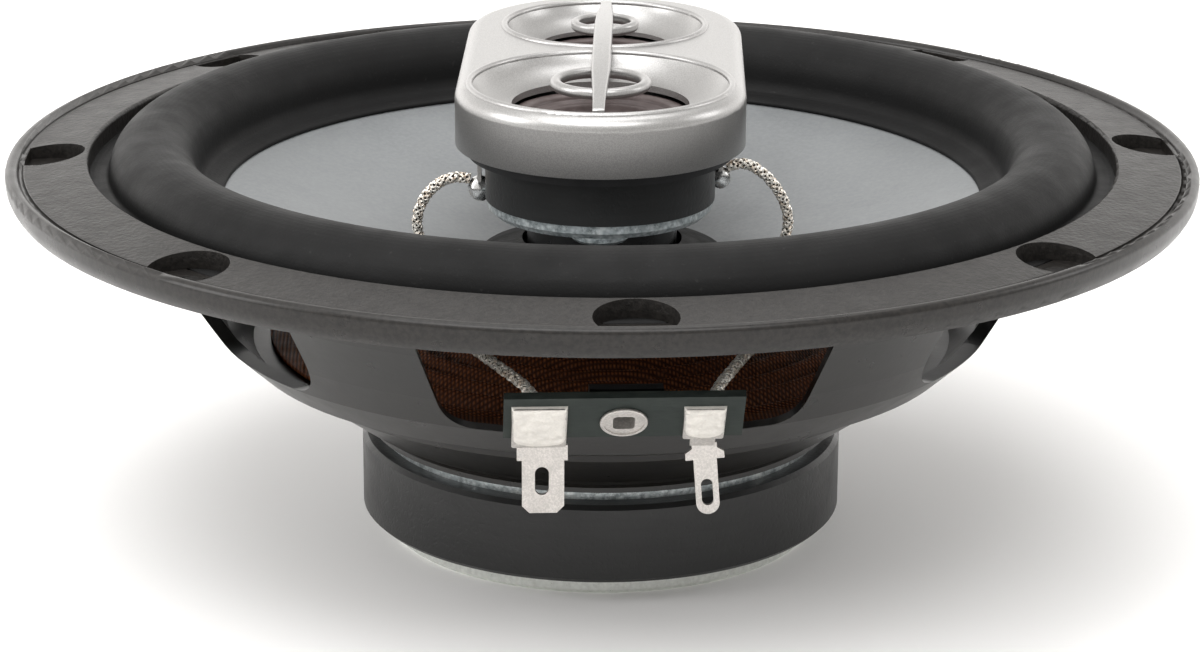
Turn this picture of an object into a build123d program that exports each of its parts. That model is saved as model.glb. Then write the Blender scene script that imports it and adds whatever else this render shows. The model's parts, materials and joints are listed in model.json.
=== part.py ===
"""Coaxial car speaker: woofer with a two-driver pod on a centre pedestal.

Origin: on the speaker axis at the rear face of the mounting flange. +Z points out of the
front of the speaker, and the terminal board is on the -Y side.
"""

from build123d import *
from math import asin, atan, cos, pi, radians, sin, tan
import os

os.makedirs("parts", exist_ok=True)

# ---------------------------------------------------------------- driving dimensions (mm)
# Flange and mounting
RIM_R = 82.9            # outer radius of the trim ring
RIM_FOOT_R = 81.9       # outer radius of the skirt where it meets the panel
RING_INNER_R = 71.5
FLANGE_R = 79.4
FLANGE_T = 1.2
HOLE_COUNT = 8
HOLE_CIRCLE_R = 77.5
HOLE_R = 2.4
POCKET_R = 5.3
POCKET_OUTER_R = 80.4   # the screw pockets stop short of the outer lip here
POCKET_FLOOR = 1.8

# Basket wall, windows and floor
WALL_OUTER = [(65.4, -1.2), (62.0, -8.0), (57.9, -15.0), (54.9, -19.5), (50.3, -23.7), (44.9, -25.8)]
WALL_INNER = [(49.4, -22.4), (53.3, -18.6), (56.3, -14.2), (60.3, -7.4), (63.6, -0.4)]
WINDOW_COUNT = 6
WINDOW_TOP = -3.4
WINDOW_BOTTOM = -19.4
SPIDER_SEAT_Z = -22.4
FLOOR_Z = -33.3         # underside of the basket floor, on the top plate
FLOOR_T = 1.5
NECK_R = 33.2

# Woofer motor
GAP_Z = -35.3           # middle of the magnetic gap
TOP_PLATE_R = 31.5
TOP_PLATE_T = 3.6
TOP_PLATE_BORE_R = 14.0
MAGNET_R = 34.2
MAGNET_BORE_R = 17.5
MAGNET_T = 11.2
BACK_PLATE_R = 31.0
BACK_PLATE_T = 2.8
POLE_R = 12.3
COIL_R = 12.75          # inside radius of the voice coil former
FORMER_T = 0.2
WINDING_T = 0.6
WINDING_LEN = 8.8

# Cone, surround and spider
CONE_R = 56.4
CONE_EDGE_R = 53.0      # where the surround's inner lip ends on the cone
CONE_EDGE_Z = -1.84
CONE_SLOPE = 0.27
CONE_T = 0.6
ROLL_CREST = (62.5, 8.0)
ROLL_T = 0.7
EYELETS = [(-25.4, -6.8), (24.9, -8.1)]   # where the leads pass through the cone
SPIDER_R = 47.2
SPIDER_T = 0.7
PEDESTAL_R = 10.6
PEDESTAL_TOP = 0.0

# Pod: a stadium outline around two driver axes
POD_YAW = -4.0          # turn of the pod about the speaker axis, degrees
DRIVER_OFFSET = 17.5    # speaker axis to each driver axis
POD_R = 19.66
POD_BOTTOM = 9.6
POD_TOP = 17.7
POD_WALL = 1.6
PLATE_TOP = 9.0         # front face of both small motors
MAGNET_TOP = 7.6
HOUSING_BOTTOM = 8.15
HOUSING_TOP = 12.6

# Terminal board, riveted to a tongue left in the front window
BOARD_W = 30.4
BOARD_H = 9.0
BOARD_T = 1.0
BOARD_TILT = 38.0       # degrees that the board's outer face looks downwards
BOARD_BACK = (-0.3, -58.7, -14.7)
TONGUE_W = 9.4
TONGUE_TOP = -11.4
TAB_T = 0.5
EYELET_HOLE_R = 2.0
EYELET_DROP = 0.75       # eyelet axis below the middle of the board

LEAD_R = 0.8            # braided tinsel lead


# ---------------------------------------------------------------- helpers
def save(part, name):
    """Label a finished piece and write its STEP file."""
    part.label = name
    export_step(part, f"parts/{name}.step")


def cone_front(radius):
    """Height of the woofer cone's front face."""
    return CONE_EDGE_Z - CONE_SLOPE * (CONE_EDGE_R - radius)


def pod_point(x, y, z=0.0):
    """A point given along the pod's own axes, in the speaker's frame."""
    yaw = radians(POD_YAW)
    return Vector(x * cos(yaw) - y * sin(yaw), x * sin(yaw) + y * cos(yaw), z)


def pod_level(z):
    """A horizontal plane at height z, turned with the pod."""
    return Plane(origin=(0, 0, z), x_dir=pod_point(1, 0), z_dir=(0, 0, 1))


def pod_section(y):
    """The vertical plane through the driver axis at distance y along the pod."""
    return Plane(origin=pod_point(0, y), x_dir=pod_point(1, 0), z_dir=pod_point(0, -1))


def driver_axis(y):
    return Axis(pod_point(0, y), (0, 0, 1))


def dome_middle(apex, rim_r, rim_z):
    """The point halfway along a dome's section, from its apex on the axis to its rim."""
    rise = apex - rim_z
    sphere_r = (rim_r**2 + rise**2) / (2 * rise)
    half = asin(rim_r / sphere_r) / 2
    return (sphere_r * sin(half), apex - sphere_r * (1 - cos(half)))


def eyelet_seat(x, y):
    """The plane on the cone's front face at (x, y)."""
    r = (x * x + y * y) ** 0.5
    lean = atan(CONE_SLOPE)
    normal = (-x / r * sin(lean), -y / r * sin(lean), cos(lean))
    return Plane(origin=(x, y, cone_front(r)), z_dir=normal)


def bend_radii(points):
    """The largest tangent arcs that the runs of a route allow, one for each corner."""
    radii = []
    for a, b, c in zip(points, points[1:], points[2:]):
        first, second = Vector(*b) - Vector(*a), Vector(*c) - Vector(*b)
        turn = radians(first.get_angle(second))
        radii.append(0.45 * min(first.length, second.length) / tan(turn / 2))
    return radii


def outline(*points):
    """A closed outline through the points, as a face of the sketch being built."""
    with BuildLine() as edge:
        Polyline(*points, close=True)
    make_face(edge.edges())


# ---------------------------------------------------------------- basket
with BuildPart() as basket:
    with BuildSketch(Plane.XZ):
        outline(
            (FLANGE_R, 0), (66.6, 0), *WALL_OUTER, (43.9, -27.0), (36.0, -32.7),
            (NECK_R + 0.5, -33.9), (NECK_R, -34.6), (NECK_R, GAP_Z), (TOP_PLATE_R + 0.2, GAP_Z),
            (TOP_PLATE_R + 0.2, FLOOR_Z), (14.6, FLOOR_Z), (14.6, FLOOR_Z + FLOOR_T),
            (34.8, FLOOR_Z + FLOOR_T), (42.4, -26.3), (43.0, SPIDER_SEAT_Z), *WALL_INNER, (64.8, FLANGE_T), (FLANGE_R, FLANGE_T),
        )
    revolve(axis=Axis.Z)
    # Five oval windows, and a wider one for the terminal board on the -Y side
    for index in range(WINDOW_COUNT):
        angle = radians(-90 + index * 360 / WINDOW_COUNT)
        outward = Vector(cos(angle), sin(angle), 0)
        facing = Plane(origin=outward * 45, x_dir=(-sin(angle), cos(angle), 0), z_dir=outward)
        top_half, low_half, corner = (27.6, 22.6, 5.0) if index == 0 else (18.5, 15.0, 8.0)
        with BuildSketch(facing) as window:
            outline(
                (-top_half, WINDOW_TOP), (top_half, WINDOW_TOP),
                (low_half, WINDOW_BOTTOM), (-low_half, WINDOW_BOTTOM),
            )
            fillet(window.vertices().group_by(Axis.Y)[0], corner)
            fillet(window.vertices().group_by(Axis.Y)[-1], 1.5)
            if index == 0:
                with Locations((0, (TONGUE_TOP + WINDOW_BOTTOM) / 2 - 1)):
                    Rectangle(TONGUE_W, TONGUE_TOP - WINDOW_BOTTOM + 2, mode=Mode.SUBTRACT)
        extrude(amount=26, mode=Mode.SUBTRACT)
    with BuildSketch(Plane.XY):
        with PolarLocations(HOLE_CIRCLE_R, HOLE_COUNT, start_angle=-90):
            Circle(HOLE_R)
    extrude(amount=FLANGE_T, mode=Mode.SUBTRACT)
    with BuildSketch(Plane.XY.offset(FLOOR_Z)):
        with PolarLocations(23, 4, start_angle=45):
            Circle(1.5)
    extrude(amount=FLOOR_T, mode=Mode.SUBTRACT)
    board_plane = Plane(
        origin=BOARD_BACK, x_dir=(1, 0, 0),
        z_dir=(0, -cos(radians(BOARD_TILT)), -sin(radians(BOARD_TILT))),
    )
    with BuildSketch(board_plane):
        with Locations((0, -EYELET_DROP)):
            Circle(EYELET_HOLE_R)
    extrude(amount=-6, mode=Mode.SUBTRACT)
save(basket.part, "basket")

# ---------------------------------------------------------------- trim ring
with BuildPart() as trim_ring:
    with BuildSketch(Plane.XZ):
        with BuildLine():
            ThreePointArc((RING_INNER_R, 3.9), (RING_INNER_R + 0.15, 4.25), (RING_INNER_R + 0.5, 4.4))
            Line((RING_INNER_R + 0.5, 4.4), (80.4, 3.4))
            ThreePointArc((80.4, 3.4), (80.75, 2.95), (81.1, 3.3))        # groove inside the lip
            ThreePointArc((81.1, 3.3), (81.95, 4.0), (RIM_R, 3.0))        # lip
            ThreePointArc((RIM_R, 3.0), (RIM_R - 0.15, 1.5), (RIM_FOOT_R, 0))
            Polyline((RIM_FOOT_R, 0), (FLANGE_R + 0.2, 0), (FLANGE_R + 0.2, FLANGE_T),
                     (74.2, FLANGE_T), (74.2, FLANGE_T + ROLL_T), (RING_INNER_R, FLANGE_T + ROLL_T),
                     (RING_INNER_R, 3.9))
        make_face()
    revolve(axis=Axis.Z)
    # Screw pockets, cut off square where they meet the lip
    with BuildSketch(Plane.XY.offset(POCKET_FLOOR)):
        with PolarLocations(HOLE_CIRCLE_R, HOLE_COUNT, start_angle=-90):
            Circle(POCKET_R)
        Circle(POCKET_OUTER_R, mode=Mode.INTERSECT)
    extrude(amount=5, mode=Mode.SUBTRACT)
    with BuildSketch(Plane.XY):
        with PolarLocations(HOLE_CIRCLE_R, HOLE_COUNT, start_angle=-90):
            Circle(HOLE_R)
    extrude(amount=5, mode=Mode.SUBTRACT)
save(trim_ring.part, "trim_ring")

# ---------------------------------------------------------------- surround and spider
with BuildPart() as surround:
    with BuildSketch(Plane.XZ):
        lip_z = cone_front(CONE_EDGE_R) + 0.08
        foot_z = cone_front(57.2) + 0.08
        with BuildLine():
            Polyline((57.2, foot_z), (CONE_EDGE_R, lip_z), (CONE_EDGE_R, lip_z + ROLL_T),
                     (56.5, foot_z + ROLL_T))
            ThreePointArc((56.5, foot_z + ROLL_T), ROLL_CREST, (68.8, FLANGE_T + ROLL_T))
            Polyline((68.8, FLANGE_T + ROLL_T), (73.9, FLANGE_T + ROLL_T), (73.9, FLANGE_T),
                     (68.1, FLANGE_T))
            ThreePointArc((68.1, FLANGE_T), (ROLL_CREST[0], ROLL_CREST[1] - ROLL_T), (57.2, foot_z))
        make_face()
    revolve(axis=Axis.Z)
save(surround.part, "surround")

with BuildPart() as spider:
    with BuildSketch(Plane.XY.offset(SPIDER_SEAT_Z)):
        Circle(SPIDER_R)
        Circle(COIL_R + FORMER_T + 0.15, mode=Mode.SUBTRACT)
    extrude(amount=SPIDER_T)
save(spider.part, "spider")

# ---------------------------------------------------------------- cone assembly
with BuildPart() as cone:
    neck_r = COIL_R + FORMER_T
    with BuildSketch(Plane.XZ):
        outline(
            (neck_r, cone_front(neck_r)), (CONE_R, cone_front(CONE_R)),
            (CONE_R, cone_front(CONE_R) - CONE_T), (neck_r, cone_front(neck_r) - CONE_T),
        )
    revolve(axis=Axis.Z)
    for x, y in EYELETS:
        with BuildSketch(eyelet_seat(x, y).offset(1)):
            Circle(1.1)
        extrude(amount=-3, mode=Mode.SUBTRACT)
save(cone.part, "cone")

with BuildPart() as dust_collar:
    with BuildSketch(Plane.XZ):
        outline(
            (11.3, -9.0), (14.0, -9.9), (17.2, cone_front(17.2) + 0.35),
            (17.2, cone_front(17.2)), (16.0, cone_front(16.0)), (14.0, -10.5), (11.3, -9.6),
        )
    revolve(axis=Axis.Z)
save(dust_collar.part, "dust_collar")

coil_low = GAP_Z - WINDING_LEN / 2 - 0.6
with BuildPart() as voice_coil_former:
    with BuildSketch(Plane.XY.offset(coil_low)):
        Circle(COIL_R + FORMER_T)
        Circle(COIL_R, mode=Mode.SUBTRACT)
    extrude(amount=-12.0 - coil_low)
save(voice_coil_former.part, "voice_coil_former")

with BuildPart() as voice_coil_winding:
    with BuildSketch(Plane.XY.offset(GAP_Z - WINDING_LEN / 2)):
        Circle(COIL_R + FORMER_T + WINDING_T)
        Circle(COIL_R + FORMER_T, mode=Mode.SUBTRACT)
    extrude(amount=WINDING_LEN)
save(voice_coil_winding.part, "voice_coil_winding")

# ---------------------------------------------------------------- woofer motor
plate_low = FLOOR_Z - TOP_PLATE_T
with BuildPart() as top_plate:
    with BuildSketch(Plane.XY.offset(plate_low)):
        Circle(TOP_PLATE_R)
        Circle(TOP_PLATE_BORE_R, mode=Mode.SUBTRACT)
    extrude(amount=TOP_PLATE_T)
    with BuildSketch(Plane.XY.offset(FLOOR_Z)):
        with PolarLocations(23, 4, start_angle=45):
            Circle(1.5)
    extrude(amount=-2.6, mode=Mode.SUBTRACT)
save(top_plate.part, "top_plate")

magnet_low = plate_low - MAGNET_T
with BuildPart() as magnet:
    with BuildSketch(Plane.XY.offset(magnet_low)):
        Circle(MAGNET_R)
        Circle(MAGNET_BORE_R, mode=Mode.SUBTRACT)
    extrude(amount=MAGNET_T)
    chamfer(magnet.edges().filter_by(GeomType.CIRCLE).filter_by(lambda e: e.radius > 30), 0.6)
save(magnet.part, "magnet")

back_z = magnet_low - BACK_PLATE_T
with BuildPart() as yoke:
    with BuildSketch(Plane.XZ):
        outline(
            (2.7, FLOOR_Z), (POLE_R - 0.5, FLOOR_Z), (POLE_R, FLOOR_Z - 0.5), (POLE_R, magnet_low),
            (BACK_PLATE_R, magnet_low), (BACK_PLATE_R, back_z + 0.6), (BACK_PLATE_R - 0.6, back_z),
            (5.2, back_z), (5.2, back_z + 2.6), (2.7, back_z + 2.6),
        )
    revolve(axis=Axis.Z)
save(yoke.part, "yoke")

with BuildPart() as basket_rivets:
    with BuildSketch(Plane.XY.offset(FLOOR_Z - 2.5)):
        with PolarLocations(23, 4, start_angle=45):
            Circle(1.45)
    extrude(amount=2.5 + FLOOR_T)
    with BuildSketch(Plane.XY.offset(FLOOR_Z + FLOOR_T)):
        with PolarLocations(23, 4, start_angle=45):
            Circle(2.6)
    extrude(amount=0.9)
    chamfer(basket_rivets.edges().group_by(Axis.Z)[-1], 0.4)
save(basket_rivets.part, "basket_rivets")

# ---------------------------------------------------------------- pedestal and its bolt
with BuildPart() as pedestal:
    with BuildSketch(Plane.XY.offset(FLOOR_Z)):
        Circle(PEDESTAL_R)
    extrude(amount=PEDESTAL_TOP - FLOOR_Z)
    # The web rises between the two small motors to the pod
    with BuildSketch(pod_level(PEDESTAL_TOP - 0.1)):
        with Locations((0, 1.5)):
            RectangleRounded(13, 5.6, 1.0)
    extrude(amount=HOUSING_BOTTOM - PEDESTAL_TOP + 0.1)
    with BuildSketch(Plane.XY.offset(FLOOR_Z)):
        Circle(2.5)
    extrude(amount=11, mode=Mode.SUBTRACT)
save(pedestal.part, "pedestal")

with BuildPart() as pedestal_bolt:
    with BuildSketch(Plane.XZ):
        outline(
            (0, back_z + 0.9), (2.0, back_z + 0.9), (2.0, back_z + 0.3), (4.2, back_z + 0.3),
            (4.6, back_z + 0.8), (4.6, back_z + 2.6), (2.45, back_z + 2.6),
            (2.45, FLOOR_Z + 9.4), (2.0, FLOOR_Z + 10), (0, FLOOR_Z + 10),
        )
    revolve(axis=Axis.Z)
save(pedestal_bolt.part, "pedestal_bolt")


# ---------------------------------------------------------------- pod shells
def stadium(radius):
    """The pod outline at a given side radius, in the sketch being built."""
    SlotCenterToCenter(2 * DRIVER_OFFSET, 2 * radius, rotation=90)


# Each driver: distance along the pod, funnel mouth and throat radii, throat height
FUNNELS = {
    "midrange": (-DRIVER_OFFSET, 17.4, 12.0, 14.9),
    "tweeter": (DRIVER_OFFSET, 14.1, 9.4, 14.6),
}

with BuildPart() as pod_housing:
    with BuildSketch(pod_level(POD_BOTTOM)):
        stadium(POD_R)
    extrude(amount=POD_TOP - POD_BOTTOM)
    fillet(pod_housing.edges().group_by(Axis.Z)[-1], 1.9)
    with BuildSketch(pod_level(POD_BOTTOM)):
        stadium(POD_R - POD_WALL)
    extrude(amount=POD_TOP - POD_BOTTOM - POD_WALL, mode=Mode.SUBTRACT)
    for y, mouth_r, throat_r, throat_z in FUNNELS.values():
        with BuildSketch(pod_section(y)):
            with BuildLine():
                Polyline((throat_r, 14.0), (throat_r, throat_z))
                RadiusArc((throat_r, throat_z), (mouth_r, POD_TOP), -(mouth_r - throat_r) * 1.15)
                Polyline((mouth_r, POD_TOP), (mouth_r + 0.6, POD_TOP),
                         (mouth_r + 0.6, 15.6), (throat_r + 1.4, 14.0), (throat_r, 14.0))
            make_face()
        revolve(axis=driver_axis(y))
        with BuildSketch(pod_section(y)):
            with BuildLine():
                Polyline((0, 13.0), (throat_r, 13.0), (throat_r, throat_z))
                RadiusArc((throat_r, throat_z), (mouth_r, POD_TOP), -(mouth_r - throat_r) * 1.15)
                Polyline((mouth_r, POD_TOP), (mouth_r, POD_TOP + 2), (0, POD_TOP + 2), (0, 13.0))
            make_face()
        revolve(axis=driver_axis(y), mode=Mode.SUBTRACT)
        # Raised bead round the mouth
        with BuildSketch(pod_section(y)):
            with Locations((mouth_r + 0.35, POD_TOP - 0.1)):
                Circle(0.5)
        revolve(axis=driver_axis(y))
save(pod_housing.part, "pod_housing")

with BuildPart() as pod_rear_housing:
    with BuildSketch(pod_level(HOUSING_BOTTOM)):
        stadium(POD_R - POD_WALL - 0.1)
    extrude(amount=HOUSING_TOP - HOUSING_BOTTOM)
    for y, seat_r, cavity_r in ((-DRIVER_OFFSET, 14.3, 12.6), (DRIVER_OFFSET, 11.3, 10.0)):
        with BuildSketch(pod_level(HOUSING_BOTTOM)):
            with Locations((0, y)):
                Circle(seat_r)
        extrude(amount=PLATE_TOP - HOUSING_BOTTOM, mode=Mode.SUBTRACT)
        with BuildSketch(pod_level(PLATE_TOP)):
            with Locations((0, y)):
                Circle(cavity_r)
        extrude(amount=HOUSING_TOP - PLATE_TOP, mode=Mode.SUBTRACT)
    # Open-topped pockets for the two capacitors
    for side in (-1, 1):
        with BuildSketch(pod_section(-4.5)):
            with Locations((side * 13.9, 11.2)):
                Circle(2.7)
        extrude(amount=-10, mode=Mode.SUBTRACT)
save(pod_rear_housing.part, "pod_rear_housing")

for name, side in (("midrange_capacitor", -1), ("tweeter_capacitor", 1)):
    with BuildPart() as capacitor:
        with BuildSketch(pod_section(-4.0)):
            with Locations((side * 13.9, 11.2)):
                Circle(2.5)
        extrude(amount=-9)
        fillet(capacitor.edges().filter_by(GeomType.CIRCLE), 0.4)
    save(capacitor.part, name)

# ---------------------------------------------------------------- phase bridge
BRIDGE_NEAR, BRIDGE_FAR = -33.9, 30.9
with BuildPart() as phase_bridge:
    # Side view of the blade: an arch from rim to rim
    with BuildSketch(Plane(origin=(0, 0, 0), x_dir=pod_point(0, 1), z_dir=pod_point(1, 0))):
        with BuildLine():
            Polyline((BRIDGE_NEAR, 17.75), (BRIDGE_NEAR, 18.1))
            ThreePointArc((BRIDGE_NEAR, 18.1), (-1.5, 20.9), (BRIDGE_FAR, 18.1))
            Polyline((BRIDGE_FAR, 18.1), (BRIDGE_FAR, 17.75))
            ThreePointArc((BRIDGE_FAR, 17.75), (-1.5, 18.3), (BRIDGE_NEAR, 17.75))
        make_face()
    extrude(amount=1.4, both=True)
    # Plan view of the blade: widest over the near driver, narrow at both feet
    with BuildSketch(pod_level(10)):
        with BuildLine():
            ThreePointArc((-0.9, BRIDGE_NEAR), (-1.4, -5), (-0.8, BRIDGE_FAR))
            Line((-0.8, BRIDGE_FAR), (0.8, BRIDGE_FAR))
            ThreePointArc((0.8, BRIDGE_FAR), (1.4, -5), (0.9, BRIDGE_NEAR))
            Line((0.9, BRIDGE_NEAR), (-0.9, BRIDGE_NEAR))
        make_face()
    extrude(amount=20, mode=Mode.INTERSECT)
    for y, ring_r, hole_r in ((-DRIVER_OFFSET, 6.85, 5.25), (DRIVER_OFFSET, 4.85, 3.6)):
        with BuildSketch(pod_level(16.9)):
            with Locations((0, y)):
                Circle(ring_r)
                Circle(hole_r, mode=Mode.SUBTRACT)
        extrude(amount=1.5)
save(phase_bridge.part, "phase_bridge")

# ---------------------------------------------------------------- small drivers
# y along the pod, outer radius, magnet bottom, back plate thickness, pole radius, diaphragm radius
DRIVERS = {
    "midrange": (-DRIVER_OFFSET, 15.6, 2.0, 1.9, 6.2, 12.3),
    "tweeter": (DRIVER_OFFSET, 12.4, 3.2, 0.9, 4.2, 9.7),
}
for name, (y, outer_r, low, plate_t, pole_r, dome_r) in DRIVERS.items():
    axis = driver_axis(y)
    with BuildPart() as small_plate:
        with BuildSketch(pod_level(MAGNET_TOP)):
            with Locations((0, y)):
                Circle(outer_r - 1.4)
                Circle(pole_r + 0.85, mode=Mode.SUBTRACT)
        extrude(amount=PLATE_TOP - MAGNET_TOP)
    save(small_plate.part, f"{name}_top_plate")

    with BuildPart() as small_magnet:
        with BuildSketch(pod_level(low)):
            with Locations((0, y)):
                Circle(outer_r)
                Circle(pole_r + 2.2, mode=Mode.SUBTRACT)
        extrude(amount=MAGNET_TOP - low)
    save(small_magnet.part, f"{name}_magnet")

    # The midrange yoke has a long boss behind it; the tweeter's is flush
    boss_low = low - plate_t - (4.2 if name == "midrange" else 0.8)
    boss_r = 4.0 if name == "midrange" else 3.0
    with BuildPart() as small_yoke:
        with BuildSketch(pod_section(y)):
            outline(
                (0, PLATE_TOP), (pole_r, PLATE_TOP), (pole_r, low), (outer_r - 0.3, low),
                (outer_r - 0.3, low - plate_t + 0.8), (outer_r - 1.1, low - plate_t),
                (boss_r, low - plate_t), (boss_r, boss_low + 0.4), (boss_r - 0.4, boss_low),
                (0, boss_low),
            )
        revolve(axis=axis)
    save(small_yoke.part, f"{name}_yoke")

    coil_r = pole_r + 0.24
    with BuildPart() as small_coil:
        with BuildSketch(pod_level(MAGNET_TOP - 1.6)):
            with Locations((0, y)):
                Circle(coil_r + 0.34)
                Circle(coil_r, mode=Mode.SUBTRACT)
        extrude(amount=10.6 - (MAGNET_TOP - 1.6))
    save(small_coil.part, f"{name}_voice_coil")

    # Diaphragm: a dome inside the coil, a cone outside it and a rolled edge
    edge_r = dome_r - 2.4
    with BuildPart() as diaphragm:
        with BuildSketch(pod_section(y)):
            cap_r = coil_r + 0.3
            with BuildLine():
                ThreePointArc((0, 12.6), dome_middle(12.6, coil_r, 10.6), (coil_r, 10.6))
                Polyline((coil_r, 10.6), (coil_r + 0.34, 10.6), (edge_r, 12.9))
                ThreePointArc((edge_r, 12.9), (dome_r - 1.2, 13.45), (dome_r - 0.1, 12.95))
                Line((dome_r - 0.1, 12.95), (dome_r, 13.15))
                ThreePointArc((dome_r, 13.15), (dome_r - 1.2, 13.7), (edge_r - 0.1, 13.15))
                Line((edge_r - 0.1, 13.15), (cap_r, 10.9))
                ThreePointArc((cap_r, 10.9), dome_middle(12.9, cap_r, 10.9), (0, 12.9))
                Line((0, 12.9), (0, 12.6))
            make_face()
        revolve(axis=axis)
    save(diaphragm.part, f"{name}_diaphragm")

# ---------------------------------------------------------------- terminal board and tabs
with BuildPart() as terminal_board:
    with BuildSketch(board_plane):
        Rectangle(BOARD_W, BOARD_H)
        with Locations((0, -EYELET_DROP)):
            Circle(EYELET_HOLE_R, mode=Mode.SUBTRACT)
    extrude(amount=BOARD_T)
save(terminal_board.part, "terminal_board")

board_face = board_plane.offset(BOARD_T)
rivet_back = Plane(
    origin=board_plane.from_local_coords((0, -EYELET_DROP, -2.4)), x_dir=board_plane.x_dir,
    z_dir=board_plane.z_dir,
)
rivet_face = rivet_back.offset(2.4 + BOARD_T)
with BuildPart() as board_eyelet:
    with BuildSketch(rivet_back):
        Circle(EYELET_HOLE_R - 0.05)
    extrude(amount=BOARD_T + 2.4)
    with BuildSketch(rivet_face):
        Circle(3.05)
    extrude(amount=0.5)
    # The flange is rolled: a raised rim round a shallow dish
    with BuildSketch(rivet_face.offset(0.35)):
        Circle(2.55)
    extrude(amount=1, mode=Mode.SUBTRACT)
    rim = board_eyelet.edges().filter_by(GeomType.CIRCLE).filter_by(lambda e: e.radius > 3)
    fillet(rim, 0.2)
    with BuildSketch(rivet_back):
        RectangleRounded(2.8, 2.8, 0.6)
    extrude(amount=8, mode=Mode.SUBTRACT)
save(board_eyelet.part, "board_eyelet")

HEAD_LOW = -BOARD_H / 2 - 1.6                     # where the tabs bend, along the board
bend = board_face.offset(TAB_T).from_local_coords((0, HEAD_LOW, 0))
tab_plane = Plane(origin=(0, bend.Y, 0), x_dir=(1, 0, 0), z_dir=(0, -1, 0))
TAB_TOP = bend.Z + 0.35

WIDE_X, WIDE_HEAD_X, WIDE_TIP = -10.4, -10.7, -29.3
WIDE_HEAD_W, WIDE_EAR_W, WIDE_W, WIDE_HEAD_TOP = 6.9, 6.5, 5.4, 2.7
with BuildPart() as terminal_positive:
    with BuildSketch(board_face) as wide_head:
        with Locations((WIDE_HEAD_X, (WIDE_HEAD_TOP + HEAD_LOW) / 2)):
            Rectangle(WIDE_HEAD_W, WIDE_HEAD_TOP - HEAD_LOW)
        fillet(wide_head.vertices().group_by(Axis.Z)[-1], 0.4)
    extrude(amount=TAB_T)
    with BuildSketch(tab_plane) as wide_tab:
        with Locations((WIDE_X, (TAB_TOP + WIDE_TIP) / 2)):
            Rectangle(WIDE_W, TAB_TOP - WIDE_TIP)
        chamfer(wide_tab.vertices().group_by(Axis.Z)[0], 0.95)
        with Locations((WIDE_X - 0.1, TAB_TOP - 1.05)):
            Rectangle(WIDE_EAR_W, 2.1)
        with Locations((WIDE_X - 0.15, WIDE_TIP + 4.35)):
            SlotOverall(3.8, 1.8, rotation=90, mode=Mode.SUBTRACT)
    extrude(amount=-TAB_T)
save(terminal_positive.part, "terminal_positive")

NARROW_X, NARROW_HEAD_X, NARROW_LEN, NARROW_LEAN = 10.15, 10.2, 9.7, 4.4
NARROW_HEAD_W, NARROW_NECK_W, NARROW_W, NARROW_HEAD_TOP = 5.2, 3.2, 3.0, 2.3
lean = radians(NARROW_LEAN)
lean_plane = Plane(
    origin=(NARROW_X, bend.Y, TAB_TOP), x_dir=(cos(lean), 0, sin(lean)), z_dir=(0, -1, 0),
)
with BuildPart() as terminal_negative:
    with BuildSketch(board_face) as narrow_head:
        with Locations((NARROW_HEAD_X, (NARROW_HEAD_TOP - BOARD_H / 2) / 2)):
            Rectangle(NARROW_HEAD_W, NARROW_HEAD_TOP + BOARD_H / 2)
        fillet(narrow_head.vertices(), 0.35)
        with Locations((NARROW_HEAD_X, HEAD_LOW / 2)):
            Rectangle(NARROW_NECK_W, -HEAD_LOW)
    extrude(amount=TAB_T)
    with BuildSketch(lean_plane):
        outline(
            (-1.6, 0), (1.6, 0), (1.6, -0.7), (2.5, -1.3), (2.5, -2.2), (-2.5, -2.2),
            (-2.5, -1.3), (-1.6, -0.7),
        )
        with Locations((0, -NARROW_LEN / 2 + 0.75)):
            Rectangle(NARROW_W, NARROW_LEN - 1.5)
        with Locations((0, NARROW_W / 2 - NARROW_LEN)):
            Circle(NARROW_W / 2)
        with Locations((0, 3.0 - NARROW_LEN)):
            SlotOverall(3.6, 1.5, rotation=90, mode=Mode.SUBTRACT)
    extrude(amount=-TAB_T)
save(terminal_negative.part, "terminal_negative")

# ---------------------------------------------------------------- solder lugs on the pod
LUGS = {"solder_lug_left": (-16.7, -11.0, 0.8, 1.5), "solder_lug_right": (16.4, -11.0, 2.7, 1.35)}
for name, (x, y, blob_z, blob_r) in LUGS.items():
    with BuildPart() as lug:
        with BuildSketch(pod_level(blob_z)):
            with Locations((x, y)):
                Rectangle(0.5, 2.2)
        extrude(amount=HOUSING_BOTTOM - blob_z)
        with Locations(pod_point(x, y, blob_z)):
            Sphere(blob_r)
    save(lug.part, name)

# ---------------------------------------------------------------- cone eyelets and leads
with BuildPart() as cone_eyelets:
    for x, y in EYELETS:
        seat = eyelet_seat(x, y)
        # Front flange, shank and rolled back flange: bottom, radius and thickness
        flanges = ((0.08, 1.9, 0.4), (-0.68, 1.0, 0.76), (-1.08, 1.7, 0.4))
        for level, radius, thickness in flanges:
            with BuildSketch(seat.offset(level)):
                Circle(radius)
            extrude(amount=thickness)
save(cone_eyelets.part, "cone_eyelets")

# Front leads loop out from the pod's lugs and down to the cone, along the pod's axes
FRONT_ROUTES = {
    "left": [(-18.0, -11, 2.35), (-19.6, -11, 2.7), (-21.6, -11, 2.2), (-23.6, -10.6, 0.6),
             (-24.9, -10, -1.5), (-25.6, -9.4, -4.1), (-25.4, -8.9, -6.2), (-25.0, -8.6, -8.0)],
    "right": [(17.3, -11, 4.3), (18.8, -10.8, 4.95), (20.7, -10.3, 4.5), (23.0, -9.4, 2.6),
              (25.0, -8.4, -0.3), (26.0, -7.4, -3.3), (26.0, -6.8, -6.0), (25.5, -6.4, -8.0)],
}
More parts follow.
